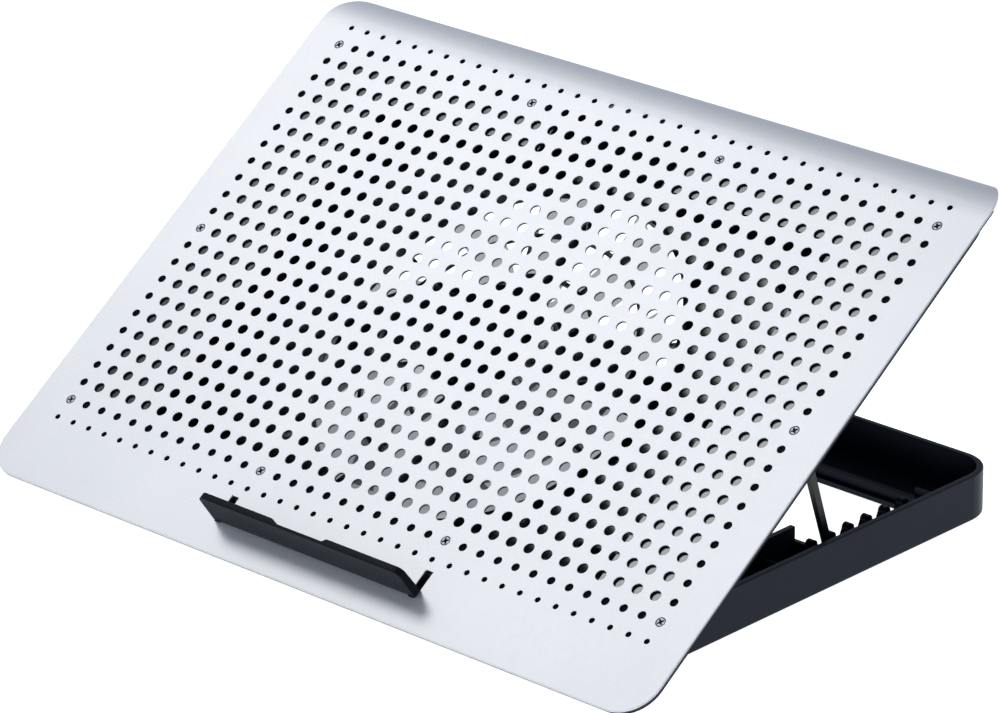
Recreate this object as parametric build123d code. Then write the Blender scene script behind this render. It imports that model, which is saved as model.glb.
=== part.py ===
"""Laptop cooling pad: a perforated aluminium deck on a plastic tray, hinged to
a low plastic base frame, with two fold-out legs, a fold-down front stop and
one large fan.

Frame: millimetres, +X to the user's right, +Y away from the user (rear),
+Z up, origin on the table under the middle of the overall box.
The deck parts are laid out in the deck's own frame: hinge axis at the origin,
plate level, y to the rear, z up; then tipped up about the hinge axis.
"""
import math
import os

from build123d import *

os.makedirs("parts", exist_ok=True)

# ---------------------------------------------------------------- dimensions
deck_angle = 35.4          # tilt of the deck to the table
foot_h = 3.5               # rubber feet below the base
base_half_w = 168.0        # base outer half width
base_front = -4.6          # base front wall outer face, from the hinge axis
base_rear = 214.4          # base rear wall outer face, from the hinge axis
base_h = 21.0              # base wall height
base_wall = 3.0
base_floor = 2.2
base_r = 18.0              # plan radius of the base corners
hinge_h = 15.8             # hinge axis above the base's underside
hinge_y = -83.3            # hinge axis in the part frame
hinge_z = foot_h + hinge_h
hinge_pin_d = 4.0

plate_half_w = 194.7
plate_front = -48.0
plate_top = 15.0           # plate top above the hinge axis
plate_t = 1.2
roll_y = 222.5             # start of the rear roll
roll_r = 14.5              # outer radius of the rear roll
lip_len = 3.0
plate_r_front = 17.5
plate_r_rear = 22.0
pitch = 10.0
cols, rows = 36, 24
row0_y = 216.0             # row 0 (rearmost) in the deck frame
hole_big, hole_mid, hole_small = 5.0, 3.8, 2.6

flange_t = 2.2
flange_z = plate_top - plate_t          # top of the tray flange
tray_half_w = 137.0
tray_wall = 2.5
tray_bottom = -6.5
tray_floor_t = 2.5
cav_front, cav_rear = 2.0, 185.0
box_half_w = 40.0          # rear electronics box
box_rear = 232.4
box_bottom = -5.0
box_wall = 2.0
box_top_z = 6.2

fan_y = 93.0
fan_open_r = 87.5
fan_ring_r = 90.6
fan_ring_ri = 87.8
hub_r = 30.0
blade_r = 85.0
blade_n = 9

leg_py, leg_pz = 115.1, 6.5    # leg pivot, deck frame
leg_len = 80.7
leg_rel = -107.7               # leg angle against the deck when stood up
leg_x0, leg_x1 = 154.2, 157.0
leg_pin_d = 4.0

rack_x0, rack_x1 = 149.5, 153.0
rack_y0, rack_pitch, rack_n = 109.0, 11.9, 6
rack_top, rack_notch = 15.0, 8.6

stop_half_w = 60.0
stop_py, stop_pz = -23.5, 10.25    # stop pivot, deck frame
stop_front, stop_back = -32.75, -28.6
stop_h = 17.0
slot_x = 57.75
slot_w, slot_y0, slot_y1 = 4.0, -32.75 - 0.3, -18.75
stop_pin_d = 3.0

gap = 0.05                 # running clearance on a pin, radial


# ------------------------------------------------------------------- helpers
def bx(x0, x1, y0, y1, z0, z1):
    return Pos((x0 + x1) / 2, (y0 + y1) / 2, (z0 + z1) / 2) * Box(
        abs(x1 - x0), abs(y1 - y0), abs(z1 - z0))


def cz(x, y, z0, z1, r):
    return Pos(x, y, (z0 + z1) / 2) * Cylinder(r, abs(z1 - z0))


def cx(x0, x1, y, z, r):
    return Pos((x0 + x1) / 2, y, z) * Rot(0, 90, 0) * Cylinder(r, abs(x1 - x0))


def rounded(x0, x1, y0, y1, z0, z1, rf, rr):
    """A block with front corners of radius rf and rear corners of radius rr."""
    b = bx(x0, x1, y0, y1, z0, z1)
    es = b.edges().filter_by(Axis.Z)
    front = [e for e in es if e.center().Y < (y0 + y1) / 2]
    rear = [e for e in es if e.center().Y > (y0 + y1) / 2]
    if rf > 0:
        b = fillet(front, rf)
    if rr > 0:
        es = b.edges().filter_by(Axis.Z)
        rear = [e for e in es if e.center().Y > (y0 + y1) / 2
                and abs(e.center().Y - y1) < 0.01]
        b = fillet(rear, rr)
    return b


def yz_prism(pts, x0, x1):
    """Closed outline in y and z, run from x0 to x1."""
    w = Wire.make_polygon([Vector(x0, p[0], p[1]) for p in pts], close=True)
    f = Face(w)
    return Solid.extrude(f, Vector(x1 - x0, 0, 0))


def tube(pts, r):
    line = Spline(*[Vector(*p) for p in pts])
    sec = Plane(origin=line @ 0, z_dir=line % 0) * Circle(r)
    return sweep(sec, path=line)


def solids_of(obj):
    return list(obj.solids())


DECK = Pos(0, hinge_y, hinge_z) * Rot(deck_angle, 0, 0)
BASE = Pos(0, hinge_y, foot_h)      # y from the hinge axis, z from the underside
LEG = DECK * Pos(0, leg_py, leg_pz) * Rot(leg_rel, 0, 0)


def save(name, items, loc):
    """One STEP per node; a group of separate solids becomes a compound."""
    out = []
    for it in (items if isinstance(items, list) else [items]):
        for s in solids_of(it):
            out.append(loc * s)
    shape = out[0] if len(out) == 1 else Compound(children=out)
    shape.label = name
    export_step(shape, f"parts/{name}.step")
    print(name, len(out))


# ---------------------------------------------------------------------- base
def make_base():
    b = rounded(-base_half_w, base_half_w, base_front, base_rear, 0, base_h,
                base_r, base_r)
    b = fillet(b.faces().sort_by(Axis.Z)[0].edges(), 1.2)
    inner = rounded(-base_half_w + base_wall, base_half_w - base_wall,
                    base_front + base_wall, base_rear - base_wall,
                    base_floor, base_h + 5, base_r - base_wall,
                    base_r - base_wall)
    b = b - inner
    b = fillet(b.faces().sort_by(Axis.Z)[-1].edges(), 0.6)
    # windows in the floor
    cuts = [rounded(-132, 132, 22, 183.5, -1, base_floor + 1, 6, 6)]
    for s in (1, -1):
        cuts.append(bx(s * 120, s * 147.5, 112, 183.5, -1, base_floor + 1))
    for c in cuts:
        b = b - c
    add = []
    # low bar along the rear strip, and the curb around the window
    add.append(bx(-147, 147, 186, 189, base_floor - 0.5, 6.5))
    add.append(bx(-134, 134, 18.5, 20.5, base_floor - 0.5, 6.0))
    for s in (1, -1):
        # long inner wall that ends in the hinge lug at the front
        add.append(bx(s * 138.5, s * 141, base_front + 1, 110.5,
                      base_floor - 0.5, 17.5))
        add.append(bx(s * 138.2, s * 142.4, base_front + 0.3, 6,
                      base_floor - 0.5, base_h))
        # cross ribs
        add.append(bx(s * 138.5, s * 150, 110, 112, base_floor - 0.5, 11))
        for y in (88.5, 58.0, 28.0):
            add.append(bx(s * 140.5, s * 166, y, y + 1.6,
                          base_floor - 0.5, 10))
        add.append(bx(s * 141.5, s * 166, 189, 190.6, base_floor - 0.5, 10))
        # rack
        prof = [(100, base_floor - 0.5), (176, base_floor - 0.5),
                (176, rack_notch), (100, rack_notch)]
        add.append(yz_prism(prof, s * rack_x0, s * rack_x1))
        for k in range(rack_n):
            y = rack_y0 + rack_pitch * k
            add.append(yz_prism([(y - 4.3, rack_notch - 0.4),
                                 (y + 4.3, rack_notch - 0.4),
                                 (y + 2.0, rack_top - 1.9),
                                 (y - 2.0, rack_top - 1.9)],
                                s * rack_x0, s * rack_x1))
            add.append(cx(s * rack_x0, s * rack_x1, y, rack_top - 2.1, 2.1))
    for a in add:
        b = b + a
    # front wall stepped down between the lugs so that the tray can tip over it
    b = b - bx(-128.5, 128.5, base_front - 1, base_front + base_wall + 0.2,
               14.3, base_h + 1)
    for s in (1, -1):
        b = b - bx(s * 128.0, s * 138.2, base_front - 1,
                   base_front + base_wall + 0.2, 10.3, base_h + 1)
        b = b - cx(s * 137, s * 143.6, 0, hinge_h, hinge_pin_d / 2)
        b = b - cz(s * 140, 24, -1, 0.5, 9.0)
        b = b - cz(s * 140, 196, -1, 0.5, 9.0)
    # cut-out in the rear wall for plugs
    b = b - bx(-44, 44, base_rear - base_wall - 0.5, base_rear + 1, 9,
               base_h + 1)
    return b


save("base_frame", make_base(), BASE)

pads = []
for sx in (1, -1):
    for y in (24, 196):
        p = cz(sx * 140, y, -foot_h, 0.5, 9.0)
        p = fillet(p.faces().sort_by(Axis.Z)[0].edges(), 0.8)
        pads.append(p)
save("foot_pads", pads, BASE)

pins = []
for s in (1, -1):
    pins.append(cx(s * 131.5, s * 143.2, 0, hinge_h, hinge_pin_d / 2))
save("hinge_pins", pins, BASE)

# ----------------------------------------------------------------- top plate
screws_xy = [(-175, 206), (-55, 206), (55, 206), (175, 206),
             (-175, 96), (175, 96),
             (-175, -4), (-55, -4), (55, -4), (175, -4)]


def hole_d(i, j):
    if (10 * (i - 17.5), row0_y - 10 * j) in screws_xy:
        return None
    if j in (0, rows - 1):
        return hole_small
    if j in (1, rows - 2) or i in (0, cols - 1):
        return hole_mid
    return hole_big


def make_plate():
    rim_y = roll_y + roll_r
    outline = rounded(-plate_half_w, plate_half_w, plate_front, rim_y,
                      -20, 30, plate_r_front, plate_r_rear)
    flat = outline & bx(-200, 200, plate_front - 1, roll_y,
                        plate_top - plate_t, plate_top)
    flat = flat.solids()[0]
    bottom = flat.faces().sort_by(Axis.Z)[0]
    inner = []
    for j in range(rows):
        for i in range(cols):
            d = hole_d(i, j)
            if d is None:
                d = 3.0
            x, y = 10 * (i - 17.5), row0_y - 10 * j
            if slot_y0 < y < slot_y1 and abs(abs(x) - slot_x) < slot_w:
                continue
            e = Edge.make_circle(d / 2, Plane((x, y, plate_top - plate_t)))
            inner.append(Wire([e]))
    for s in (1, -1):
        x0, x1 = s * slot_x - slot_w / 2, s * slot_x + slot_w / 2
        z = plate_top - plate_t
        inner.append(Wire.make_polygon(
            [Vector(x0, slot_y0, z), Vector(x1, slot_y0, z),
             Vector(x1, slot_y1, z), Vector(x0, slot_y1, z)], close=True))
    sheet = Face(bottom.outer_wire(), inner)
    flat = Solid.extrude(sheet, Vector(0, 0, plate_t))
    # rear roll with its lip
    ring = (cx(-200, 200, roll_y, plate_top - roll_r, roll_r)
            - cx(-201, 201, roll_y, plate_top - roll_r, roll_r - plate_t))
    ring = ring & bx(-200, 200, roll_y, rim_y + 1, plate_top - roll_r,
                     plate_top + 1)
    lip = bx(-200, 200, rim_y - plate_t, rim_y,
             plate_top - roll_r - lip_len, plate_top - roll_r)
    roll = (ring + lip) & outline
    # window for the ports in the lower part of the roll
    roll = roll - bx(-38.4, 38.4, roll_y + 8, rim_y + 1, -10, 7.2)
    plate = flat + roll
    cones = []
    for (x, y) in screws_xy:
        cones.append(Pos(x, y, plate_top - 0.5) * Cone(1.5, 2.5, 1.0 + 0.0))
    plate = plate - cones
    return plate


save("top_plate", make_plate(), DECK)


def make_screw(x, y):
    head = Pos(x, y, plate_top - 0.5) * Cone(1.42, 2.42, 1.0)
    head = head & cz(x, y, plate_top - 1.2, plate_top - 0.06, 4)
    s = head + cz(x, y, plate_top - 8.5, plate_top - 0.9, 1.5)
    for a in (0, 90):
        s = s - Pos(x, y, plate_top - 0.3) * Rot(0, 0, a + 20) * Box(2.9, 0.6, 1.0)
    return s


save("plate_screws", [make_screw(x, y) for x, y in screws_xy], DECK)


# ----------------------------------------------------------------- deck tray
def make_tray():
    t = rounded(-plate_half_w + 1.2, plate_half_w - 1.2, plate_front + 0.9,
                221, flange_z - flange_t, flange_z, plate_r_front - 1, 14)
    t = t + rounded(-tray_half_w, tray_half_w, cav_front - tray_wall,
                    cav_rear + tray_wall, tray_bottom, flange_z - 0.5, 5, 9)
    t = t + bx(-box_half_w, box_half_w, cav_rear, 221, box_bottom,
               flange_z - 0.5)
    t = t + bx(-box_half_w + 2.2, box_half_w - 2.2, 215, box_rear, box_bottom, box_top_z)
    # cavities
    t = t - rounded(-tray_half_w + tray_wall, tray_half_w - tray_wall,
                    cav_front, cav_rear, tray_bottom + tray_floor_t,
                    flange_z + 1, 3, 7)
    t = t - bx(-36, 36, cav_rear - 3, box_rear + 1, box_bottom + 1.8,
               flange_z + 1)
    # ribs inside the cavity
    for s in (1, -1):
        for y in (20, 93, 166):
            t = t + bx(s * 108, s * 135.5, y - 0.8, y + 0.8,
                       tray_bottom + 1, 6)
    # screw bosses under the flange
    for (x, y) in screws_xy:
        t = t + cz(x, y, 5.0, flange_z - 0.5, 3.5)
    # fan grille
    t = t - cz(0, fan_y, tray_bottom - 1, tray_bottom + tray_floor_t + 0.5,
               fan_open_r)
    guard = None
    z0, z1 = tray_bottom, tray_bottom + 2.0
    for r in (44.0, 66.0):
        g = cz(0, fan_y, z0, z1, r + 0.9) - cz(0, fan_y, z0 - 1, z1 + 1, r - 0.9)
        guard = g if guard is None else guard + g
    guard = guard + cz(0, fan_y, z0, z1, 24.0)
    for k in range(8):
        c = 22.5 + 45 * k
        guard = guard + Pos(0, fan_y, (z0 + z1) / 2) * Rot(0, 0, c) * Pos(55.5, 0, 0) * Box(67, 1.8, z1 - z0)
    t = t + guard
    # hinge bosses on the front corners of the tray
    for s in (1, -1):
        t = t + cx(s * 130.6, s * 137.6, 0, 0, 4.4)
        t = t + bx(s * 130.6, s * 137.0, 0, 5, -6, 10)
        t = t - cx(s * 131.2, s * 139, 0, 0, hinge_pin_d / 2 + gap)
        # stop: opening in the flange, and its two cheeks
        t = t - bx(s * 55.4, s * 60.1, -34, -13.5, 5, flange_z + 1)
        for (a, b) in ((52.4, 55.4), (60.1, 63.1)):
            t = t + bx(s * a, s * b, stop_py - 4, stop_py + 4, 6.4,
                       flange_z - 0.5)
        t = t - cx(s * 52.6, s * 64, stop_py, stop_pz, stop_pin_d / 2)
        # leg: two cheeks
        for (a, b) in ((150.2, 153.7), (157.5, 161.0)):
            t = t + bx(s * a, s * b, leg_py - 5, leg_py + 5, 1.8,
                       flange_z - 0.5)
        t = t - cx(s * 150.6, s * 162, leg_py, leg_pz, leg_pin_d / 2)
    # pilot holes
    for (x, y) in screws_xy:
        t = t - cz(x, y, 6.2, flange_z + 1, 1.5)
    for k in range(4):
        a = math.radians(45 + 90 * k)
        t = t - cz(98 * math.cos(a), fan_y + 98 * math.sin(a),
                   tray_bottom + 0.4, tray_bottom + tray_floor_t + 1, 1.5)
    for x in (-29, 29):
        t = t + cz(x, 201, box_bottom + 1, -2.4, 3.0)
        t = t - cz(x, 201, box_bottom + 0.5, -2.0, 1.25)
    return t


save("deck_tray", make_tray(), DECK)

stop_pins = [cx(s * 52.6, s * 63.1, stop_py, stop_pz, stop_pin_d / 2)
             for s in (1, -1)]
save("stop_pins", stop_pins, DECK)
leg_pins = [cx(s * 150.6, s * 161.0, leg_py, leg_pz, leg_pin_d / 2)
            for s in (1, -1)]
save("leg_pins", leg_pins, DECK)


# ----------------------------------------------------------------------- fan
def make_fan_frame():
    z0 = tray_bottom + tray_floor_t
    f = cz(0, fan_y, z0, -0.2, fan_ring_r) - cz(0, fan_y, z0 - 1, 1, fan_ring_ri)
    for k in range(4):
        f = f + Pos(0, fan_y, (z0 - 1.5) / 2) * Rot(0, 0, 90 * k) * Pos(56.5, 0, 0) * Box(67, 5, abs(z0 + 1.5))
        a = math.radians(45 + 90 * k)
        x, y = 98 * math.cos(a), fan_y + 98 * math.sin(a)
        lug = cz(x, y, z0, -1.0, 5.0) + Pos(0, fan_y, (z0 - 1) / 2) * Rot(0, 0, 45 + 90 * k) * Pos(94, 0, 0) * Box(9, 10, abs(z0 + 1))
        f = f + lug
    f = f - cz(0, fan_y, -1.0, 11, fan_ring_ri)
    f = f + cz(0, fan_y, z0, -1.5, 29.0)
    f = f + cz(0, fan_y, -2.0, 6.0, 4.6)
    f = f - cz(0, fan_y, -1.0, 7, 3.0)
    for k in range(4):
        a = math.radians(45 + 90 * k)
        f = f - cz(98 * math.cos(a), fan_y + 98 * math.sin(a), z0 - 1, 0, 1.7)
    f = f - bx(-2, 2, fan_y + 84, fan_y + 95, -2.2, 1.5)
    return f


save("fan_frame", make_fan_frame(), DECK)

fan_screws = []
for k in range(4):
    a = math.radians(45 + 90 * k)
    x, y = 98 * math.cos(a), fan_y + 98 * math.sin(a)
    s = cz(x, y, -1.0, 0.9, 2.9) + cz(x, y, tray_bottom + 0.4, -0.5, 1.5)
    s = fillet(s.faces().sort_by(Axis.Z)[-1].edges(), 0.7)
    for q in (0, 90):
        s = s - Pos(x, y, 0.7) * Rot(0, 0, q) * Box(3.0, 0.7, 1.2)
    fan_screws.append(s)
save("fan_screws", fan_screws, DECK)

bearing = cz(0, fan_y, -1.0, 6.0, 3.0) - cz(0, fan_y, -2, 7, 1.5 + gap)
save("fan_bearing", bearing, DECK)


def make_core():
    c = cz(0, fan_y, 0.2, 5.2, 9.0)
    for k in range(4):
        rot = Rot(0, 0, 45 + 90 * k)
        c = c + Pos(0, fan_y, 2.7) * rot * Pos(14.5, 0, 0) * Box(14, 5, 5)
        arc = (cz(0, fan_y, 0.2, 5.2, 24.4) - cz(0, fan_y, 0, 6, 21.6))
        wedge = Pos(0, fan_y, 2.7) * rot * Pos(23, 0, 0) * Box(10, 26, 5)
        c = c + (arc & wedge)
    c = c - cz(0, fan_y, 0, 6, 4.6)
    return c


save("stator_core", make_core(), DECK)

coils = []
for k in range(4):
    rot = Pos(0, fan_y, 2.7) * Rot(0, 0, 45 + 90 * k)
    outer = Box(9.6, 11.5, 5.0 + 2.0)
    outer = fillet(outer.edges().filter_by(Axis.X), 1.0)
    coil = rot * (Pos(15.6, 0, 0) * (outer - Box(12, 5.0, 5.0)))
    coils.append(coil)
save("stator_coils", coils, DECK)

board = cz(0, fan_y, -1.5, -0.9, 26.0) - cz(0, fan_y, -2, 0, 4.6)
board = board + cz(0, fan_y - 21, -0.95, -0.4, 1.2)
save("fan_board", board, DECK)


def make_impeller():
    hub = cz(0, fan_y, 1.0, 11.2, hub_r)
    hub = fillet(hub.faces().sort_by(Axis.Z)[-1].edges(), 1.6)
    hub = hub - cz(0, fan_y, 0, 9.4, hub_r - 1.6)
    hub = hub + (cz(0, fan_y, 6.6, 10.0, 3.6) - cz(0, fan_y, 6, 9.2, 1.5))
    b = hub
    for k in range(blade_n):
        a0 = 360.0 / blade_n * k
        secs = []
        for (r, lead, halfc, rise) in ((hub_r - 1.2, 0, 6.4, 3.6),
                                       (56.0, 9, 8.6, 3.3),
                                       (blade_r - 1.0, 22, 10.6, 2.9)):
            # a flat section across the blade at radius r, pitched up
            n = (math.cos(math.radians(lead)), math.sin(math.radians(lead)))
            tx, ty = -n[1], n[0]
            pts = []
            for (u, v) in ((-1, -0.7), (1, -0.7), (1, 0.7), (-1, 0.7)):
                px = r * n[0] + tx * halfc * u
                py = r * n[1] + ty * halfc * u
                pz = 5.6 + rise * u + v
                pts.append(Vector(px, py, pz))
            secs.append(Wire.make_polygon(pts, close=True))
        blade = Solid.make_loft(secs, ruled=False)
        blade = Pos(0, fan_y, 0) * Rot(0, 0, a0) * blade
        b = b + blade
    keep = cz(0, fan_y, 0.9, 11.3, blade_r)
    b = b & keep
    b = b - cz(0, fan_y, 0, 9.4, hub_r - 1.6) + (cz(0, fan_y, 6.6, 10.0, 3.6) - cz(0, fan_y, 6, 9.2, 1.5))
    return b


save("fan_impeller", make_impeller(), DECK)
save("fan_yoke", cz(0, fan_y, 1.2, 9.4, hub_r - 1.6) - cz(0, fan_y, 0, 10, hub_r - 2.6), DECK)
save("fan_magnet", cz(0, fan_y, 1.4, 8.4, hub_r - 2.6) - cz(0, fan_y, 0, 10, 25.0), DECK)
save("fan_shaft", cz(0, fan_y, -0.7, 9.2, 1.5), DECK)

lead = tube([(0, 120.5, -0.35), (0, 150, -0.42), (0, 176, -0.42), (0, 188, -0.2),
             (0, 199, 0.05)], 0.8)
save("fan_lead", lead, DECK)

# ----------------------------------------------------------- control and USB
pcb = bx(-33, 33, 196, 231.6, -2.4, -0.8)
for x in (-29, 29):
    pcb = pcb - cz(x, 201, -3, 0, 1.4)
pcb = pcb + bx(-4, 4, 205, 210, -0.9, 0.9) + bx(-24, -20, 204, 208, -0.9, 0.4)
save("control_board", pcb, DECK)

bscrews = []
for x in (-29, 29):
    s = cz(x, 201, -0.8, 0.9, 2.4) + cz(x, 201, box_bottom + 0.5, -0.5, 1.25)
    for q in (0, 90):
        s = s - Pos(x, 201, 0.8) * Rot(0, 0, q) * Box(2.6, 0.6, 1.0)
    bscrews.append(s)
save("board_screws", bscrews, DECK)

port_z0, port_z1 = -0.8, 6.2 - 0.2
port_x = (-24.0, -4.0)
for name, x in (("usb_port_left", port_x[0]), ("usb_port_right", port_x[1])):
    sh = bx(x, x + 14.4, 219.8, 234.2, port_z0, port_z1)
    sh = sh - bx(x + 0.4, x + 14.0, 221.0, 235, port_z0 + 0.4, port_z1 - 0.4)
    save(name, sh, DECK)
tongues = []
for x in port_x:
    tongues.append(bx(x + 0.4, x + 14.0, 221.0, 223.2, port_z0 + 0.4, port_z1 - 0.4)
                   + bx(x + 1.6, x + 12.8, 223.0, 233.2, 2.9, 4.7))
save("usb_tongues", tongues, DECK)

sw = bx(18, 30, 223.5, 232.2, -0.8, 5.2) - bx(19.6, 28.4, 224.5, 233, 0.8, 3.6)
save("switch_body", sw, DECK)
knob = bx(22, 26, 225.2, 231.8, 1.1, 3.3) + bx(22.6, 25.4, 231.0, 236.0, 1.3, 3.1)
save("switch_knob", knob, DECK)

panel = bx(-37.6, 37.6, box_rear, box_rear + 2.0, box_bottom, box_top_z + 0.1)
for x in port_x:
    panel = panel - bx(x - 0.1, x + 14.5, box_rear - 1, box_rear + 3,
                       port_z0 - 0.1, port_z1 + 0.1)
panel = panel - bx(20.2, 27.8, box_rear - 1, box_rear + 3, 1.0, 3.4)
save("port_panel", panel, DECK)


# ---------------------------------------------------------------- front stop
def make_stop():
    top = plate_top + stop_h
    s = yz_prism([(stop_front, plate_top + 0.3), (stop_back, plate_top + 0.3),
                  (stop_back - 0.7, top), (stop_front + 0.1, top)],
                 -stop_half_w, stop_half_w)
    ends = [e for e in s.edges() if abs(abs(e.center().X) - stop_half_w) < 0.01
            and e.center().Z > top - 0.01]
    s = fillet(ends, 3.5)
    es = [e for e in s.edges().filter_by(Axis.X) if e.center().Z > top - 0.01]
    s = fillet(es, 0.5)
    # thumb scoop in the rear of the top edge
    scoop = yz_prism([(stop_front + 1.6, top + 1), (stop_back + 1, top + 1),
                      (stop_back + 1, top - 8.5), (stop_back - 0.2, top - 8.5)],
                     -14.5, 14.5)
    s = s - scoop
    for q in (1, -1):
        x0, x1 = q * (slot_x - 1.65), q * (slot_x + 1.65)
        arm = yz_prism([(stop_front + 0.05, plate_top + 1.5),
                        (stop_back, plate_top + 1.5),
                        (stop_back, stop_pz + 2.6), (stop_py, stop_pz + 2.6),
                        (stop_py, stop_pz - 2.6),
                        (stop_front + 2.5, stop_pz - 2.6),
                        (stop_front + 0.05, stop_pz)], x0, x1)
        arm = arm + cx(x0, x1, stop_py, stop_pz, 2.6)
        s = s + arm
    for q in (1, -1):
        s = s - cx(q * 50, q * 66, stop_py, stop_pz, stop_pin_d / 2 + gap)
    return s


save("front_stop", make_stop(), DECK)


# ---------------------------------------------------------------------- legs
def make_leg(sign):
    x0, x1 = sign * leg_x0, sign * leg_x1
    w0, w1 = 1.9, 1.6
    bar = yz_prism([(0, -w0), (leg_len, -w1), (leg_len, w1), (0, w0)], x0, x1)
    leg = bar + cx(x0, x1, 0, 0, 4.3) + cx(x0, x1, leg_len, 0, 2.3)
    leg = leg + cx(sign * 153.35, x0, leg_len, 0, 1.9)
    leg = leg - cx(sign * 152, sign * 160, 0, 0, leg_pin_d / 2 + gap)
    return leg


save("leg_left", make_leg(-1), LEG)
save("leg_right", make_leg(1), LEG)
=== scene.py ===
import math

import bpy
import bmesh
from mathutils import Matrix, Vector
from mathutils.geometry import delaunay_2d_cdt


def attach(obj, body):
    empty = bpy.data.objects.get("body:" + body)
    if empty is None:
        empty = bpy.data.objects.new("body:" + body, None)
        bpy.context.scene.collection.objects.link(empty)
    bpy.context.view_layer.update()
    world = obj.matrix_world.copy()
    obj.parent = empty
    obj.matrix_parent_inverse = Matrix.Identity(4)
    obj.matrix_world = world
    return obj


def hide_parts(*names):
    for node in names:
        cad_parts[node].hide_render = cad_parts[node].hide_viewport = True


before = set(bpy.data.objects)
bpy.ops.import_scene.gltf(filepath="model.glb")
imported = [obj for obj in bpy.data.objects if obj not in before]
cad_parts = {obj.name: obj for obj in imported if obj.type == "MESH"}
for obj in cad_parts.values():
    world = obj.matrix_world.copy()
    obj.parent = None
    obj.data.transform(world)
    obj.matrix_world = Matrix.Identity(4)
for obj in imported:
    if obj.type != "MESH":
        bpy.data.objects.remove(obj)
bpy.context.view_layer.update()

# ------------------------------------------------------------------ placement
TILT = math.radians(35.4)
MM = 0.001
# deck frame (hinge axis at the origin, plate level, mm) to the row frame (m)
DECK = (Matrix.Translation((0, -0.0833, 0.0193)) @ Matrix.Rotation(TILT, 4, "X")
        @ Matrix.Scale(MM, 4))
# base frame: y from the hinge axis, z from the base's underside, mm
BASE = Matrix.Translation((0, -0.0833, 0.0035)) @ Matrix.Scale(MM, 4)
LEG = DECK @ Matrix.Translation((0, 115.1, 6.5)) @ Matrix.Rotation(math.radians(-107.7), 4, "X")


# --------------------------------------------------------------------- camera
def add_camera():
    g = Vector((1532.3, -691.5, 1652.5))          # in the deck frame, mm
    loc = DECK @ g
    rot = DECK.to_3x3().normalized()

    def d(v):
        w = rot @ Vector((v[0], -v[1], -v[2]))
        return w.normalized()
    right = d((0.72541106, -0.55450406, 0.40780393))
    down = d((0.25062725, 0.76458068, 0.5938033))
    fwd = d((-0.64106535, -0.32854471, 0.69360911))
    up = -down
    back = -fwd
    m = Matrix((
        (right.x, up.x, back.x, loc.x),
        (right.y, up.y, back.y, loc.y),
        (right.z, up.z, back.z, loc.z),
        (0, 0, 0, 1)))
    cam = bpy.data.cameras.new("camera")
    ob = bpy.data.objects.new("camera", cam)
    bpy.context.collection.objects.link(ob)
    ob.matrix_world = m
    cam.sensor_width = 36.0
    cam.lens = 200.2
    cam.clip_start = 0.05
    cam.clip_end = 50
    bpy.context.scene.camera = ob


add_camera()


# ------------------------------------------------------------------ materials
def new_mat(name):
    m = bpy.data.materials.new(name)
    m.use_nodes = True
    nt = m.node_tree
    bsdf = nt.nodes["Principled BSDF"]
    return m, nt, bsdf


def coords(nt, scale=(1, 1, 1), rot=(0, 0, 0)):
    tc = nt.nodes.new("ShaderNodeTexCoord")
    mp = nt.nodes.new("ShaderNodeMapping")
    mp.inputs["Scale"].default_value = scale
    mp.inputs["Rotation"].default_value = rot
    nt.links.new(tc.outputs["Object"], mp.inputs["Vector"])
    return mp.outputs["Vector"]


def noise(nt, vec, scale, detail=2.0, rough=0.5):
    n = nt.nodes.new("ShaderNodeTexNoise")
    n.inputs["Scale"].default_value = scale
    n.inputs["Detail"].default_value = detail
    n.inputs["Roughness"].default_value = rough
    nt.links.new(vec, n.inputs["Vector"])
    return n.outputs["Fac"]


def remap(nt, fac, lo, hi, a=0.3, b=0.7):
    r = nt.nodes.new("ShaderNodeMapRange")
    r.inputs["From Min"].default_value = a
    r.inputs["From Max"].default_value = b
    r.inputs["To Min"].default_value = lo
    r.inputs["To Max"].default_value = hi
    nt.links.new(fac, r.inputs["Value"])
    return r.outputs["Result"]


def ramp(nt, fac, stops):
    r = nt.nodes.new("ShaderNodeValToRGB")
    e = r.color_ramp.elements
    e[0].position, e[0].color = stops[0][0], (*stops[0][1], 1)
    e[1].position, e[1].color = stops[-1][0], (*stops[-1][1], 1)
    for p, c in stops[1:-1]:
        q = e.new(p)
        q.color = (*c, 1)
    nt.links.new(fac, r.inputs["Fac"])
    return r.outputs["Color"]


def bump(nt, bsdf, height, strength, dist):
    b = nt.nodes.new("ShaderNodeBump")
    b.inputs["Strength"].default_value = strength
    b.inputs["Distance"].default_value = dist
    nt.links.new(height, b.inputs["Height"])
    nt.links.new(b.outputs["Normal"], bsdf.inputs["Normal"])


def plastic(name, col, rough=(0.36, 0.46), grain=2600.0, grain_h=0.00002,
            spec=0.5, strength=0.35, coat=0.0):
    m, nt, b = new_mat(name)
    v = coords(nt)
    big = noise(nt, v, 26.0, 3.0)
    fine = noise(nt, v, grain, 2.0)
    c0 = tuple(x * 0.82 for x in col)
    c1 = tuple(min(1, x * 1.20) for x in col)
    nt.links.new(ramp(nt, big, [(0.3, c0), (0.7, c1)]), b.inputs["Base Color"])
    nt.links.new(remap(nt, fine, rough[0], rough[1]), b.inputs["Roughness"])
    b.inputs["Specular IOR Level"].default_value = spec
    b.inputs["Coat Weight"].default_value = coat
    bump(nt, b, fine, strength, grain_h)
    return m


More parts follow.
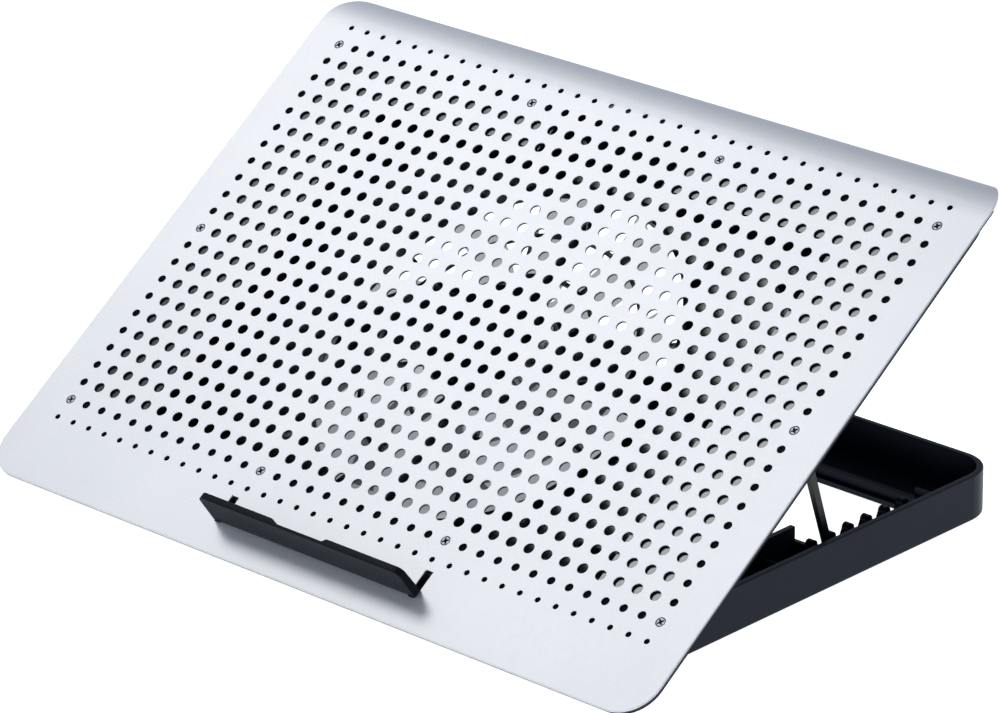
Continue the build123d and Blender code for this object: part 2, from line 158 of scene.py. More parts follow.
def metal(name, col, rough=(0.28, 0.38), scale=(1, 1, 1), grain=1800.0,
          strength=0.25, dist=0.00001, metallic=1.0, spread=0.04):
    m, nt, b = new_mat(name)
    v = coords(nt, scale)
    big = noise(nt, v, 9.0, 3.0)
    fine = noise(nt, v, grain, 3.0)
    c0 = tuple(x * (1 - spread) for x in col)
    nt.links.new(ramp(nt, big, [(0.35, c0), (0.65, col)]), b.inputs["Base Color"])
    nt.links.new(remap(nt, fine, rough[0], rough[1]), b.inputs["Roughness"])
    b.inputs["Metallic"].default_value = metallic
    bump(nt, b, fine, strength, dist)
    return m


MAT = {}


def satin():
    """Blasted and anodised aluminium: a fine grain over a faint mottle."""
    m, nt, b = new_mat("plate_aluminium")
    v = coords(nt)
    fine = noise(nt, v, 1500.0, 3.0, 0.6)
    big = noise(nt, v, 24.0, 3.0)
    c = ramp(nt, fine, [(0.36, (0.762, 0.768, 0.778)), (0.64, (0.826, 0.832, 0.842))])
    g = ramp(nt, big, [(0.32, (0.972, 0.974, 0.980)), (0.68, (1.0, 1.0, 1.0))])
    mx = nt.nodes.new("ShaderNodeMix")
    mx.data_type = "RGBA"
    mx.blend_type = "MULTIPLY"
    mx.inputs[0].default_value = 1.0
    nt.links.new(c, mx.inputs[6])
    nt.links.new(g, mx.inputs[7])
    nt.links.new(mx.outputs[2], b.inputs["Base Color"])
    nt.links.new(remap(nt, fine, 0.50, 0.58), b.inputs["Roughness"])
    b.inputs["Metallic"].default_value = 1.0
    bump(nt, b, fine, 0.35, 0.00003)
    return m


MAT["plate"] = satin()
# painted shade: a near-black metal for the plate's hole walls, cut edges and underside and for the
# screws' cross recesses, standing in for the shade and dark reflections there
MAT["bore"] = metal("plate_bore", (0.055, 0.057, 0.062), rough=(0.35, 0.5),
                    grain=4200.0, strength=0.2, dist=0.000008)
MAT["base"] = plastic("base_plastic", (0.0048, 0.0066, 0.0115), rough=(0.36, 0.46),
                      grain=3200.0, strength=0.25, grain_h=0.000012, spec=0.12)
MAT["tray"] = plastic("tray_plastic", (0.010, 0.011, 0.0135), rough=(0.20, 0.30),
                      grain=2400.0, strength=0.2, grain_h=0.000010)
MAT["fan"] = plastic("fan_plastic", (0.016, 0.016, 0.018), rough=(0.34, 0.46),
                     grain=2600.0, strength=0.3, grain_h=0.000015)
MAT["stop"] = plastic("stop_plastic", (0.0040, 0.0046, 0.0066), rough=(0.42, 0.52),
                      grain=3600.0, strength=0.35, grain_h=0.000014, spec=0.12)
for key, tint in (("base", (0.54, 0.655, 0.98, 1.0)), ("stop", (0.66, 0.76, 1.0, 1.0))):
    MAT[key].node_tree.nodes["Principled BSDF"].inputs["Specular Tint"].default_value = tint
MAT["leg"] = plastic("leg_plastic", (0.005, 0.0058, 0.008), rough=(0.36, 0.46),
                     grain=3000.0, strength=0.25, grain_h=0.000012, spec=0.3)
MAT["rubber"] = plastic("foot_rubber", (0.020, 0.020, 0.020), rough=(0.75, 0.9),
                        grain=1800.0, strength=0.6, grain_h=0.00003)
MAT["steel"] = metal("pin_steel", (0.60, 0.61, 0.63), rough=(0.22, 0.34),
                     scale=(1, 1, 1), grain=3000.0)
MAT["screw"] = metal("screw_steel", (0.58, 0.59, 0.62), rough=(0.50, 0.60),
                     grain=2600.0, strength=0.3)
MAT["bronze"] = metal("bearing_bronze", (0.62, 0.43, 0.24), rough=(0.35, 0.5), grain=2500.0)
MAT["core"] = metal("core_laminations", (0.36, 0.36, 0.38), rough=(0.4, 0.55), grain=1500.0)
MAT["magnet"] = plastic("magnet_ferrite", (0.045, 0.045, 0.05), rough=(0.6, 0.75), grain=1500.0)
MAT["port"] = metal("port_shell", (0.66, 0.67, 0.69), rough=(0.18, 0.28), grain=2400.0)
MAT["tongue"] = plastic("tongue_plastic", (0.03, 0.03, 0.033), rough=(0.4, 0.5))
MAT["lead"] = plastic("lead_jacket", (0.02, 0.02, 0.021), rough=(0.45, 0.55))


def copper():
    m, nt, b = new_mat("coil_copper")
    v = coords(nt)
    w = nt.nodes.new("ShaderNodeTexWave")
    w.wave_type = "BANDS"
    w.bands_direction = "DIAGONAL"
    w.inputs["Scale"].default_value = 900.0
    w.inputs["Distortion"].default_value = 0.6
    nt.links.new(v, w.inputs["Vector"])
    nt.links.new(ramp(nt, w.outputs["Fac"], [(0.0, (0.20, 0.07, 0.03)), (1.0, (0.72, 0.33, 0.15))]),
                 b.inputs["Base Color"])
    nt.links.new(remap(nt, w.outputs["Fac"], 0.2, 0.4, 0, 1), b.inputs["Roughness"])
    b.inputs["Metallic"].default_value = 0.9
    bump(nt, b, w.outputs["Fac"], 0.5, 0.00008)
    return m


def board():
    m, nt, b = new_mat("board_mask")
    v = coords(nt)
    n = noise(nt, v, 380.0, 1.0)
    nt.links.new(ramp(nt, n, [(0.42, (0.004, 0.016, 0.010)), (0.5, (0.006, 0.026, 0.015)),
                              (0.62, (0.010, 0.040, 0.024))]), b.inputs["Base Color"])
    nt.links.new(remap(nt, n, 0.28, 0.42), b.inputs["Roughness"])
    bump(nt, b, n, 0.3, 0.00003)
    return m


def tray_plastic():
    """Glossy black, with a matt rim under the outermost rows of holes."""
    m = plastic("tray_plastic", (0.012, 0.013, 0.016), rough=(0.17, 0.24),
                grain=2400.0, strength=0.12, grain_h=0.000006)
    nt = m.node_tree
    b = nt.nodes["Principled BSDF"]
    tc = nt.nodes.new("ShaderNodeTexCoord")

    def along(v, shift, sign, lim):
        d = nt.nodes.new("ShaderNodeVectorMath")
        d.operation = "DOT_PRODUCT"
        d.inputs[1].default_value = v
        nt.links.new(tc.outputs["Object"], d.inputs[0])
        r = nt.nodes.new("ShaderNodeMapRange")
        a, c = (lim - shift), (lim - shift + sign * 0.001)
        r.inputs["From Min"].default_value = a
        r.inputs["From Max"].default_value = c
        nt.links.new(d.outputs["Value"], r.inputs["Value"])
        return r.outputs["Result"]
    up = (0.0, math.cos(TILT), math.sin(TILT))
    y0 = 0.0833 * math.cos(TILT) - 0.0193 * math.sin(TILT)
    parts = [along((1, 0, 0), 0, 1, 0.1695), along((1, 0, 0), 0, -1, -0.1695),
             along(up, y0, 1, 0.2010), along(up, y0, -1, 0.0010)]
    acc = parts[0]
    for q in parts[1:]:
        mx = nt.nodes.new("ShaderNodeMath")
        mx.operation = "MAXIMUM"
        nt.links.new(acc, mx.inputs[0])
        nt.links.new(q, mx.inputs[1])
        acc = mx.outputs[0]
    old = b.inputs["Roughness"].links[0].from_socket
    mix = nt.nodes.new("ShaderNodeMix")
    nt.links.new(acc, mix.inputs["Factor"])
    nt.links.new(old, mix.inputs["A"])
    mix.inputs["B"].default_value = 0.8
    nt.links.new(mix.outputs["Result"], b.inputs["Roughness"])
    sp = nt.nodes.new("ShaderNodeMapRange")
    sp.inputs["To Min"].default_value = 0.64
    sp.inputs["To Max"].default_value = 0.1
    nt.links.new(acc, sp.inputs["Value"])
    nt.links.new(sp.outputs["Result"], b.inputs["Specular IOR Level"])
    return m


def blade_plastic():
    """Smoked plastic that lets part of the light through."""
    m = plastic("blade_plastic", (0.030, 0.031, 0.036), rough=(0.24, 0.34),
                grain=2600.0, strength=0.2, grain_h=0.000010)
    m.node_tree.nodes["Principled BSDF"].inputs["Alpha"].default_value = 0.50
    return m


MAT["tray"] = tray_plastic()
MAT["blade"] = blade_plastic()
MAT["copper"] = copper()
MAT["board"] = board()


def floor_mat():
    m, nt, b = new_mat("studio_floor")
    v = coords(nt)
    n = noise(nt, v, 3.0, 2.0)
    nt.links.new(ramp(nt, n, [(0.3, (0.90, 0.905, 0.91)), (0.7, (0.915, 0.92, 0.925))]),
                 b.inputs["Base Color"])
    b.inputs["Roughness"].default_value = 0.85
    b.inputs["Specular IOR Level"].default_value = 0.2
    b.inputs["Emission Color"].default_value = (1.0, 1.0, 1.0, 1.0)
    # painted shade: the floor's glow is turned down in a soft patch under the pad, standing in for its
    # shadow; evenly bright around it
    mp = nt.nodes.new("ShaderNodeMapping")
    mp.vector_type = "POINT"
    mp.inputs["Location"].default_value = (0.075 / 0.135, -0.03 / 0.10, 0.0)
    mp.inputs["Scale"].default_value = (1 / 0.135, 1 / 0.10, 1.0)
    tc = nt.nodes.new("ShaderNodeTexCoord")
    nt.links.new(tc.outputs["Object"], mp.inputs["Vector"])
    ln = nt.nodes.new("ShaderNodeVectorMath")
    ln.operation = "LENGTH"
    nt.links.new(mp.outputs["Vector"], ln.inputs[0])
    em = nt.nodes.new("ShaderNodeMapRange")
    em.interpolation_type = "SMOOTHSTEP"
    em.inputs["From Min"].default_value = 0.65
    em.inputs["From Max"].default_value = 1.20
    em.inputs["To Min"].default_value = 0.10
    em.inputs["To Max"].default_value = 1.0
    nt.links.new(ln.outputs["Value"], em.inputs["Value"])
    nt.links.new(em.outputs["Result"], b.inputs["Emission Strength"])
    return m


# -------------------------------------------------------------- mesh building
class Mesh:
    """Collects points (shared when they coincide) and faces."""

    def __init__(self):
        self.v, self.f, self.key = [], [], {}

    def p(self, x, y, z):
        k = (round(x, 3), round(y, 3), round(z, 3))
        i = self.key.get(k)
        if i is None:
            i = len(self.v)
            self.key[k] = i
            self.v.append((x, y, z))
        return i

    def face(self, *ids):
        out = []
        for i in ids:
            if not out or out[-1] != i:
                out.append(i)
        if len(out) > 2 and out[0] == out[-1]:
            out.pop()
        if len(set(out)) == len(out) and len(out) >= 3:
            self.f.append(tuple(out))

    def strip(self, a, b, closed=False):
        n = len(a)
        for k in range(n if closed else n - 1):
            j = (k + 1) % n
            self.face(a[k], a[j], b[j], b[k])

    def build(self, name, matrix, body, mat, angle=16.0, replaces=(),
              recalc=False, pick=None):
        me = bpy.data.meshes.new(name)
        me.from_pydata([tuple(matrix @ Vector(q)) for q in self.v], [], self.f)
        me.validate(clean_customdata=True)
        if recalc:
            bm = bmesh.new()
            bm.from_mesh(me)
            bmesh.ops.recalc_face_normals(bm, faces=bm.faces)
            bm.to_mesh(me)
            bm.free()
        me.polygons.foreach_set("use_smooth", [True] * len(me.polygons))
        me.set_sharp_from_angle(angle=math.radians(angle))
        for m in (mat if isinstance(mat, (list, tuple)) else [mat]):
            me.materials.append(m)
        if pick:
            inv = matrix.inverted()
            for f in me.polygons:
                f.material_index = pick([inv @ me.vertices[k].co for k in f.vertices])
        ob = bpy.data.objects.new(name, me)
        bpy.context.collection.objects.link(ob)
        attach(ob, body)
        if replaces:
            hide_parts(*replaces)
        return ob


# ------------------------------------------------------------------ top plate
PT, TH = 15.0, 1.2
HALF_W, FRONT = 194.7, -48.0
ROLL_Y, ROLL_R, LIP = 222.5, 14.5, 3.0
ELL_Y, ELL_A, ELL_P = 213.0, 24.4, 2.5   # the sheet bends down from here, slowly at first
RIM = ELL_Y + ELL_A
R_F, R_R = 17.5, 20.0
SCREWS = [(-175, 206), (-55, 206), (55, 206), (175, 206), (-175, 96), (175, 96),
          (-175, -4), (-55, -4), (55, -4), (175, -4)]
OFF = [5.0 * math.tan(math.radians(15 * k)) for k in range(-3, 4)]


def hole_r(i, j):
    if (int(10 * (i - 17.5)), 216 - 10 * j) in SCREWS:
        return None
    if j in (0, 23):
        return 1.3
    if j in (1, 22) or i in (0, 35):
        return 1.9
    return 2.5


def drop(y):
    """How far the sheet has bent down at y, before its roll proper."""
    u = min(1.0, max(0.0, (y - ELL_Y) / ELL_A))
    return ROLL_R * (1 - (1 - u ** ELL_P) ** (1 / ELL_P))


def plate():
    M = Mesh()

    def S(row, x, d):
        kind, t = row
        if kind == "flat":
            return (x, t, PT - d - drop(t))
        if kind == "roll":
            u, w = max(0.0, math.sin(t)) ** (2 / ELL_P), max(0.0, math.cos(t)) ** (2 / ELL_P)
            n = Vector((u ** (ELL_P - 1) / ELL_A, w ** (ELL_P - 1) / ROLL_R)).normalized()
            return (x, ELL_Y + ELL_A * u - d * n.x, PT - ROLL_R + ROLL_R * w - d * n.y)
        return (x, RIM - d, t)

    def x_end(row):
        y = S(row, 0, 0)[1]
        c = RIM - R_R
        if y <= c:
            return HALF_W
        return HALF_W - R_R + math.sqrt(max(0.0, R_R ** 2 - (y - c) ** 2))

    # hole cells
    dirs = [math.radians(15 * k) for k in range(24)]
    for j in range(24):
        for i in range(36):
            cx, cy = 10 * (i - 17.5), 216 - 10 * j
            sq = []
            for a in dirs:
                m = max(abs(math.cos(a)), abs(math.sin(a)))
                sq.append((cx + 5 * math.cos(a) / m, cy + 5 * math.sin(a) / m))
            r = hole_r(i, j)
            if r is None:
                prof = [(2.38, 0.0), (2.31, 0.10), (1.60, 1.02), (1.5, TH)]
            else:
                prof = [(r + 0.13, 0.0), (r + 0.04, 0.04), (r, 0.13), (r, 0.88), (r + 0.25, TH)]
            rings = [[M.p(*S(("flat", cy + q * math.sin(a)), cx + q * math.cos(a), d))
                      for a in dirs] for q, d in prof]
            top = [M.p(*S(("flat", y), x, 0)) for x, y in sq]
            bot = [M.p(*S(("flat", y), x, TH)) for x, y in sq]
            M.strip(top, rings[0], True)
            for a, b in zip(rings, rings[1:]):
                M.strip(a, b, True)
            M.strip(rings[-1], bot, True)
    XB = sorted({round(10 * (i - 17.5) + o, 6) for i in range(36) for o in OFF})
    YB = sorted({round(216 - 10 * j + o, 6) for j in range(24) for o in OFF})
    edge = [(0.38, 0.0), (0.12, 0.08), (0.0, 0.34), (0.0, TH)]
    # side margins
    for s in (1, -1):
        prev = None
        for y in YB:
            row = ("flat", y)
            xe = x_end(row)
            cur = ([M.p(*S(row, s * 180.0, 0))] + [M.p(*S(row, s * (xe - q), d)) for q, d in edge]
                   + [M.p(*S(row, s * 180.0, TH))])
            if prev:
                for a in range(len(cur) - 1):
                    M.face(prev[a], cur[a], cur[a + 1], prev[a + 1])
            prev = cur
    # rear strip, roll and lip
    cut = math.acos(((7.2 - (PT - ROLL_R)) / ROLL_R) ** (ELL_P / 2))
    rows = [("flat", 221.0), ("flat", ROLL_Y)]
    t0 = math.asin(((ROLL_Y - ELL_Y) / ELL_A) ** (ELL_P / 2))
    rows += [("roll", t0 + (cut - t0) * k / 10) for k in range(1, 11)]
    rows += [("roll", cut + (math.pi / 2 - cut) * k / 5) for k in range(1, 6)]
    rows += [("lip", -0.5), ("lip", PT - ROLL_R - LIP)]
    x0 = x_end(("flat", ROLL_Y))
    WIN = [x for x in XB if 37.5 < x < 38.5][0]

    def mapx(x, row):
        xe = x_end(row)
        ref = HALF_W if row == ("flat", 221.0) else x0
        if row[0] == "flat":
            return x
        if abs(x) <= 100:
            return x
        return math.copysign(100 + (abs(x) - 100) * (xe - 100) / (x0 - 100), x)

    outer, inner, ends = [], [], []
    for row in rows:
        xe = x_end(row)
        o = [M.p(*S(row, mapx(x, row), 0)) for x in XB]
        n = [M.p(*S(row, mapx(x, row), TH)) for x in XB]
        outer.append(o)
        inner.append(n)
        e = {}
        for s in (1, -1):
            e[s] = [M.p(*S(row, s * (xe - q), d)) for q, d in edge]
        ends.append(e)
    for k in range(len(rows) - 1):
        z = S(rows[k], 0, 0)[2]
        below = z < 7.25 and rows[k][0] != "flat"
        for c in range(len(XB) - 1):
            xm = (XB[c] + XB[c + 1]) / 2
            if below and abs(xm) < WIN:
                continue
            M.face(outer[k][c], outer[k][c + 1], outer[k + 1][c + 1], outer[k + 1][c])
            M.face(inner[k][c + 1], inner[k][c], inner[k + 1][c], inner[k + 1][c + 1])
        for s in (1, -1):
            col = -1 if s > 0 else 0
            a = [outer[k][col]] + ends[k][s] + [inner[k][col]]
            b = [outer[k + 1][col]] + ends[k + 1][s] + [inner[k + 1][col]]
            for q in range(len(a) - 1):
                M.face(a[q], a[q + 1], b[q + 1], b[q])
    # lower edge of the lip and of the window
    last = len(rows) - 1
    for c in range(len(XB) - 1):
        xm = (XB[c] + XB[c + 1]) / 2
        k = last
        if abs(xm) < WIN:
            k = [q for q, r in enumerate(rows) if r[0] == "roll" and abs(r[1] - cut) < 1e-9][0]
        M.face(outer[k][c], outer[k][c + 1], inner[k][c + 1], inner[k][c])
    for s in (1, -1):
        col = -1 if s > 0 else 0
        e = [outer[last][col]] + ends[last][s] + [inner[last][col]]
        M.face(*e)
        c = XB.index(WIN if s > 0 else [x for x in XB if -38.5 < x < -37.5][0])
        k0 = [q for q, r in enumerate(rows) if r[0] == "roll" and abs(r[1] - cut) < 1e-9][0]
        for k in range(k0, last):
            M.face(outer[k][c], outer[k + 1][c], inner[k + 1][c], inner[k][c])

    # front margin with the two slots
    def outline(inset):
        pts = []
        R = R_F - inset
        for k in range(0, 13):
            a = math.pi + (math.pi / 2) * k / 12
            pts.append((-HALF_W + R_F + R * math.cos(a), FRONT + R_F + R * math.sin(a)))
        for k in range(0, 13):
            a = 1.5 * math.pi + (math.pi / 2) * k / 12
            pts.append((HALF_W - R_F + R * math.cos(a), FRONT + R_F + R * math.sin(a)))
        return pts

    def slot_loop(s, grow):
        x0, x1 = s * 57.75 - 2.0 - grow, s * 57.75 + 2.0 + grow
        ya, yb = -33.05 - grow, -19.3 + grow
        r = 0.6 + grow
        pts = []
        for cx, cy, a0 in ((x0 + r, ya + r, 180), (x1 - r, ya + r, 270),
                           (x1 - r, yb - r, 0), (x0 + r, yb - r, 90)):
            for k in range(4):
                a = math.radians(a0 + 30 * k)
                pts.append((cx + r * math.cos(a), cy + r * math.sin(a)))
        return pts

    def sheet(inset, grow, z, up):
        mid = outline(inset)
        xe = HALF_W - inset
        poly = [(-xe, -19.0)] + mid + [(xe, -19.0)] + [(x, -19.0) for x in reversed(XB)]
        verts = [Vector(q) for q in poly]
        n = len(verts)
        edges = []
        for s in (1, -1):
            lp = slot_loop(s, grow)
            b = len(verts)
            verts += [Vector(q) for q in lp]
            edges += [(b + k, b + (k + 1) % len(lp)) for k in range(len(lp))]
        res = delaunay_2d_cdt(verts, edges, [list(range(n))], 1, 1e-5)
        vo, fo = res[0], res[2]
        for t in fo:
            c = sum((vo[k] for k in t), Vector((0, 0))) / len(t)
            inside = False
            for s in (1, -1):
                if abs(c.x - s * 57.75) < 2.0 + grow and -33.05 - grow < c.y < -19.3 + grow:
                    inside = True
            if inside:
                continue
            ids = [M.p(vo[k].x, vo[k].y, z) for k in t]
            M.face(*(ids if up else ids[::-1]))

    sheet(edge[0][0], 0.2, PT, True)
    sheet(0.0, 0.0, PT - TH, False)
    rings = []
    for q, d in edge:
        xe = HALF_W - q
        pts = [(-xe, -19.0)] + outline(q) + [(xe, -19.0)]
        rings.append([M.p(x, y, PT - d) for x, y in pts])
    for a, b in zip(rings, rings[1:]):
        M.strip(a, b)
    for s in (1, -1):
        rr = [[M.p(x, y, PT - d) for x, y in slot_loop(s, g)]
              for g, d in ((0.2, 0.0), (0.06, 0.05), (0.0, 0.2), (0.0, TH))]
        for a, b in zip(rr, rr[1:]):
            M.strip(a, b, True)
    # painted shade: faces below the top chamfer (hole walls, outer cut edges, underside) take the
    # near-black metal
    def pick(q):
        return int(all(0.09 < PT - drop(v.y) - v.z < 1.3 and v.y < 221.5 for v in q))

    return M.build("plate_sheet", DECK, "deck", [MAT["plate"], MAT["bore"]], angle=17.0,
                   replaces=["top_plate"], recalc=True, pick=pick)


plate()


# ------------------------------------------------------------ prisms and discs
def cap(M, outer, holes, place, flip):
    """A flat face with holes; place maps a 2-D point to 3-D."""
    verts = [Vector(q) for q in outer]
    n = len(verts)
    edges = []
    for lp in holes:
        b = len(verts)
        verts += [Vector(q) for q in lp]
        edges += [(b + k, b + (k + 1) % len(lp)) for k in range(len(lp))]
    res = delaunay_2d_cdt(verts, edges, [list(range(n))], 1, 1e-5)

    def inside(c, lp):
        hit = False
        for k in range(len(lp)):
            (xa, ya), (xb, yb) = lp[k], lp[(k + 1) % len(lp)]
            if (ya > c.y) != (yb > c.y) and c.x < (xb - xa) * (c.y - ya) / (yb - ya) + xa:
                hit = not hit
        return hit
    for t in res[2]:
        c = sum((res[0][k] for k in t), Vector((0, 0))) / len(t)
        if any(inside(c, lp) for lp in holes):
            continue
        ids = [M.p(*place(res[0][k].x, res[0][k].y)) for k in t]
        M.face(*(ids[::-1] if flip else ids))


def ring2(cx, cy, r, n=24, a0=0.0):
    return [(cx + r * math.cos(a0 + 2 * math.pi * k / n),
             cy + r * math.sin(a0 + 2 * math.pi * k / n)) for k in range(n)]


def shrink(pts, d):
    """Moves each side of a counterclockwise loop inwards by d."""
    out = []
    n = len(pts)
    for k in range(n):
        a, b, c = Vector(pts[k - 1]), Vector(pts[k]), Vector(pts[(k + 1) % n])
        e0, e1 = (b - a).normalized(), (c - b).normalized()
        n0, n1 = Vector((-e0.y, e0.x)), Vector((-e1.y, e1.x))
        m = (n0 + n1)
        m = m / max(0.35, m.dot(n0)) if m.length > 1e-6 else n0
        out.append(tuple(b + m * d))
    return out


def prism_x(M, outer, holes, x0, x1, bev=0.25):
    """Prism along x from a counterclockwise (y, z) outline, with bevelled rims."""
    small = shrink(outer, bev)
    L = [(x0, small), (x0 + bev, outer), (x1 - bev, outer), (x1, small)]
    rows = [[M.p(x, y, z) for y, z in pts] for x, pts in L]
    for a, b in zip(rows, rows[1:]):
        M.strip(a, b, True)
    for lp in holes:
        a = [M.p(x0, y, z) for y, z in lp]
        b = [M.p(x1, y, z) for y, z in lp]
        M.strip(b, a, True)
    cap(M, small, holes, lambda y, z: (x0, y, z), True)
    cap(M, small, holes, lambda y, z: (x1, y, z), False)


# ----------------------------------------------------------------- front stop
def smooth(t):
    t = min(1.0, max(0.0, t))
    return t * t * (3 - 2 * t)


def stop():
    M = Mesh()
    yf, yb, zb, zt = -32.75, -28.6, 15.3, 32.0
    hw, re = 60.0, 3.5

    def loop(x):
        ax = abs(x)
        top = zt
        if ax > hw - re:
            top = zt - re + math.sqrt(max(0.0, re ** 2 - (ax - hw + re) ** 2))
        e = 0.0
        if ax > hw - 0.35:
            e = 0.35 - math.sqrt(max(0.0, 0.35 ** 2 - (ax - hw + 0.35) ** 2))
        s = smooth((x + 17.6) / 5.2) * (1 - smooth((x - 13.4) / 2.6))
        r = 0.55
        y_top = (yb - 0.7) * (1 - s) + (yf + 1.75) * s
        y_mid = (yb - 0.36) * (1 - s) + (yb - 0.22) * s
        pts = [(yf + e + 0.25, zb), (yf + e, zb + 0.25)]
        for k in range(6):
            a = math.pi - math.pi / 2 * k / 5
            pts.append((yf + 0.1 + e + r + r * math.cos(a), top - e - r + r * math.sin(a)))
        for k in range(6):
            a = math.pi / 2 - math.pi / 2 * k / 5
            pts.append((y_top - e - r + r * math.cos(a), top - e - r + r * math.sin(a)))
        z_mid = top - 8.5
        for k in range(1, 6):
            t = k / 6
            bow = s * 0.55 * math.sin(math.pi * t)
            pts.append((y_top - e + (y_mid - y_top) * t - bow, top - e - r + (z_mid - top + r + e) * t))
        pts.append((y_mid - e, z_mid))
        pts += [(yb - e, zb + 0.25), (yb - e - 0.25, zb)]
        return pts

    xs = [-hw + q for q in (0, 0.03, 0.1, 0.2, 0.35, 0.7, 1.2, 1.8, 2.5, 3.5)]
    xs = xs + [-x for x in xs]
    xs += [-50 + 4 * k for k in range(26)] + [-17.6 + 0.52 * k for k in range(11)]
    xs += [13.4 + 0.26 * k for k in range(11)]
    xs = sorted(set(round(x, 4) for x in xs))
    rows = [[M.p(x, y, z) for y, z in loop(x)] for x in xs]
    for a, b in zip(rows, rows[1:]):
        M.strip(a, b, True)
    M.face(*rows[0])
    M.face(*rows[-1][::-1])
    py, pz = -23.5, 10.25
    for q in (1, -1):
        x0, x1 = sorted((q * (57.75 - 1.65), q * (57.75 + 1.65)))
        arc = [(py + 2.6 * math.cos(a), pz + 2.6 * math.sin(a))
               for a in [math.radians(-90 + 15 * k) for k in range(13)]]
        out = [(-32.7, pz + 0.0), (-30.25, pz - 2.6)] + arc + [
            (-27.6, pz + 2.6), (-28.2, pz + 3.0), (-28.6, pz + 3.7), (-28.6, 16.5), (-32.7, 16.5)]
        prism_x(M, out, [ring2(py, pz, 1.55)], x0, x1, 0.2)
    M.build("stop_bar", DECK, "stop", MAT["stop"], angle=26.0,
            replaces=["front_stop"], recalc=True)


stop()


# --------------------------------------------------------------------- screws
def screws():
    M = Mesh()
    turn = [37, 30, 46, 35, 27, 44, 24, 40, 33, 48]
    for (x, y), tw in zip(SCREWS, turn):
        prof = [(1.76, 14.93), (1.87, 14.88), (1.90, 14.78), (1.36, 13.95), (1.36, 6.6)]
        rings = [[M.p(x + r * math.cos(a), y + r * math.sin(a), z)
                  for a in [2 * math.pi * k / 32 for k in range(32)]] for r, z in prof]
        for a, b in zip(rings, rings[1:]):
            M.strip(a, b, True)
        M.face(*rings[-1][::-1])

        def cross(w, h, f):
            pts = []
            for k in range(4):
                a = math.radians(tw + 90 * k)
                c, s = math.cos(a), math.sin(a)
                for u, v in ((f, -f), (h, -w), (h + 0.12, 0.0), (h, w)):
                    pts.append((x + u * c - v * s, y + u * s + v * c))
            return pts
        top = cross(0.40, 1.50, 0.52)
        low = cross(0.22, 0.80, 0.30)
        cap(M, [(x + 1.76 * math.cos(2 * math.pi * k / 32), y + 1.76 * math.sin(2 * math.pi * k / 32))
                for k in range(32)], [top], lambda u, v: (u, v, 14.93), False)
        a = [M.p(u, v, 14.93) for u, v in top]
        b = [M.p(u, v, 13.9) for u, v in low]
        M.strip(a, b, True)
        cap(M, low, [], lambda u, v: (u, v, 13.9), False)

    # painted shade: the cross recess walls and floor take the near-black metal
    def pick(q):
        return int(any(v.z < 14.0 for v in q) and all(v.z > 13.85 for v in q)
                   and min(max(math.hypot(v.x - a, v.y - b) for v in q) for a, b in SCREWS) < 1.7)
    M.build("cross_screws", DECK, "deck", [MAT["screw"], MAT["bore"]], angle=20.0,
            replaces=["plate_screws"], recalc=True, pick=pick)


screws()

# --------------------------------------------------- CAD nodes and their looks
LOOK = {
    "base_frame": "base", "foot_pads": "rubber", "hinge_pins": "steel",
    "top_plate": "plate", "plate_screws": "screw", "deck_tray": "tray",
    "stop_pins": "steel", "leg_pins": "steel", "fan_frame": "fan",
    "fan_screws": "screw", "fan_bearing": "bronze", "stator_core": "core",
    "stator_coils": "copper", "fan_board": "board", "fan_impeller": "blade",
    "fan_yoke": "steel", "fan_magnet": "magnet", "fan_shaft": "steel",
    "fan_lead": "lead", "control_board": "board", "board_screws": "screw",
    "usb_port_left": "port", "usb_port_right": "port", "usb_tongues": "tongue",
    "switch_body": "stop", "switch_knob": "leg", "port_panel": "tray",
    "front_stop": "stop", "leg_left": "leg", "leg_right": "leg",
}
for name, key in LOOK.items():
    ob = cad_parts[name]
    ob.data.materials.clear()
    ob.data.materials.append(MAT[key])
for name in ("leg_left", "leg_right"):
    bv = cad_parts[name].modifiers.new("rim", "BEVEL")
    bv.width = 0.0003
    bv.segments = 2
    bv.limit_method = "ANGLE"
    bv.angle_limit = math.radians(50)


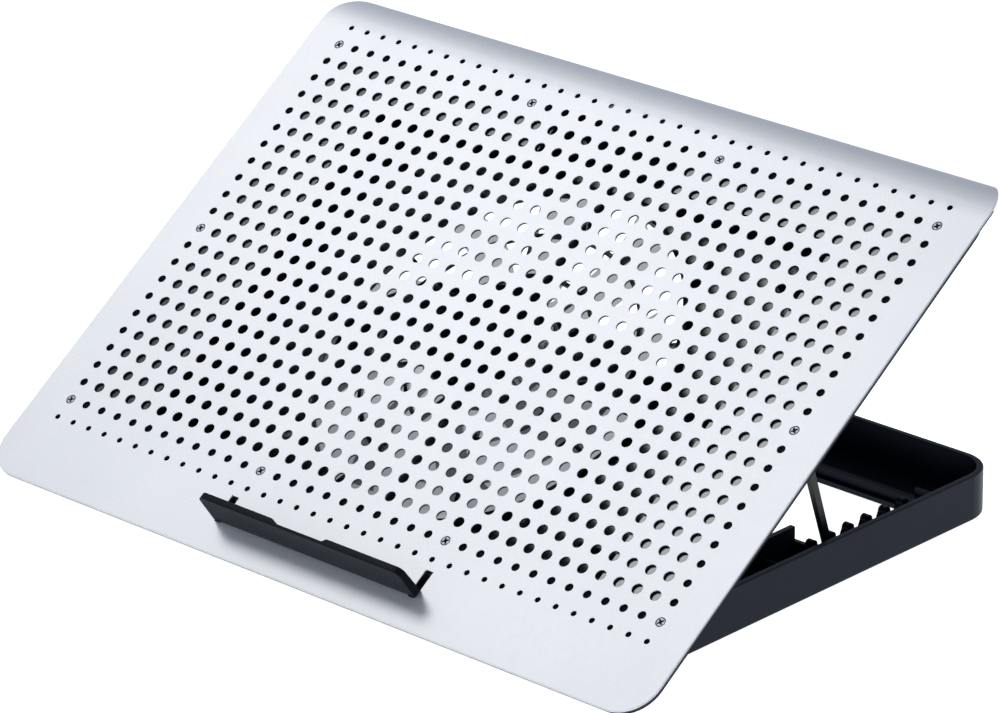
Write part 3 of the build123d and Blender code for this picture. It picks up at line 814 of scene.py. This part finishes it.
# ------------------------------------------------------------- floor and light
def floor():
    me = bpy.data.meshes.new("studio_floor")
    bm = bmesh.new()
    n = 24
    grid = [[bm.verts.new((-6 + 12 * i / n, -6 + 12 * j / n, 0.0)) for i in range(n + 1)]
            for j in range(n + 1)]
    for j in range(n):
        for i in range(n):
            bm.faces.new((grid[j][i], grid[j][i + 1], grid[j + 1][i + 1], grid[j + 1][i]))
    bm.to_mesh(me)
    bm.free()
    ob = bpy.data.objects.new("studio_floor", me)
    me.materials.append(floor_mat())
    bpy.context.collection.objects.link(ob)


floor()


def area(name, loc, target, size, power, color=(1, 1, 1), size_y=None):
    li = bpy.data.lights.new(name, "AREA")
    li.shape = "RECTANGLE"
    li.size = size
    li.size_y = size_y or size
    li.energy = power
    li.color = color
    ob = bpy.data.objects.new(name, li)
    bpy.context.collection.objects.link(ob)
    ob.location = loc
    d = (Vector(target) - Vector(loc)).normalized()
    ob.rotation_euler = d.to_track_quat("-Z", "Y").to_euler()
    return ob


area("key_soft", (-1.25, -0.40, 1.85), (0, -0.02, 0.08), 0.62, 9.2, (1.0, 1.0, 1.0))
area("roll_soft", (-1.60, 1.10, 1.55), (0, 0.1, 0.1), 1.0, 1.3, (0.80, 0.90, 1.0))
area("edge_soft", (0.83, 1.47, 1.41), (0, 0, 0.05), 0.8, 4.5)
area("front_fill", (1.4, -2.4, 0.9), (0, 0, 0.05), 1.0, 1.5)


def studio_world():
    world = bpy.data.worlds.new("studio_world")
    bpy.context.scene.world = world
    world.use_nodes = True
    nt = world.node_tree
    bg = nt.nodes["Background"]
    tc = nt.nodes.new("ShaderNodeTexCoord")
    sep = nt.nodes.new("ShaderNodeSeparateXYZ")
    nt.links.new(tc.outputs["Generated"], sep.inputs["Vector"])
    r = nt.nodes.new("ShaderNodeValToRGB")
    e = r.color_ramp.elements
    e[0].position, e[0].color = 0.0, (0.63, 0.79, 1.08, 1)
    e[1].position, e[1].color = 0.80, (0.29, 0.305, 0.345, 1)
    q = e.new(0.15)
    q.color = (0.55, 0.67, 0.88, 1)
    q = e.new(0.36)
    q.color = (0.34, 0.375, 0.44, 1)
    nt.links.new(sep.outputs["Z"], r.inputs["Fac"])
    nt.links.new(r.outputs["Color"], bg.inputs["Color"])
    bg.inputs["Strength"].default_value = 1.0


studio_world()
bpy.context.scene.view_settings.view_transform = "Standard"
bpy.context.scene.view_settings.look = "None"
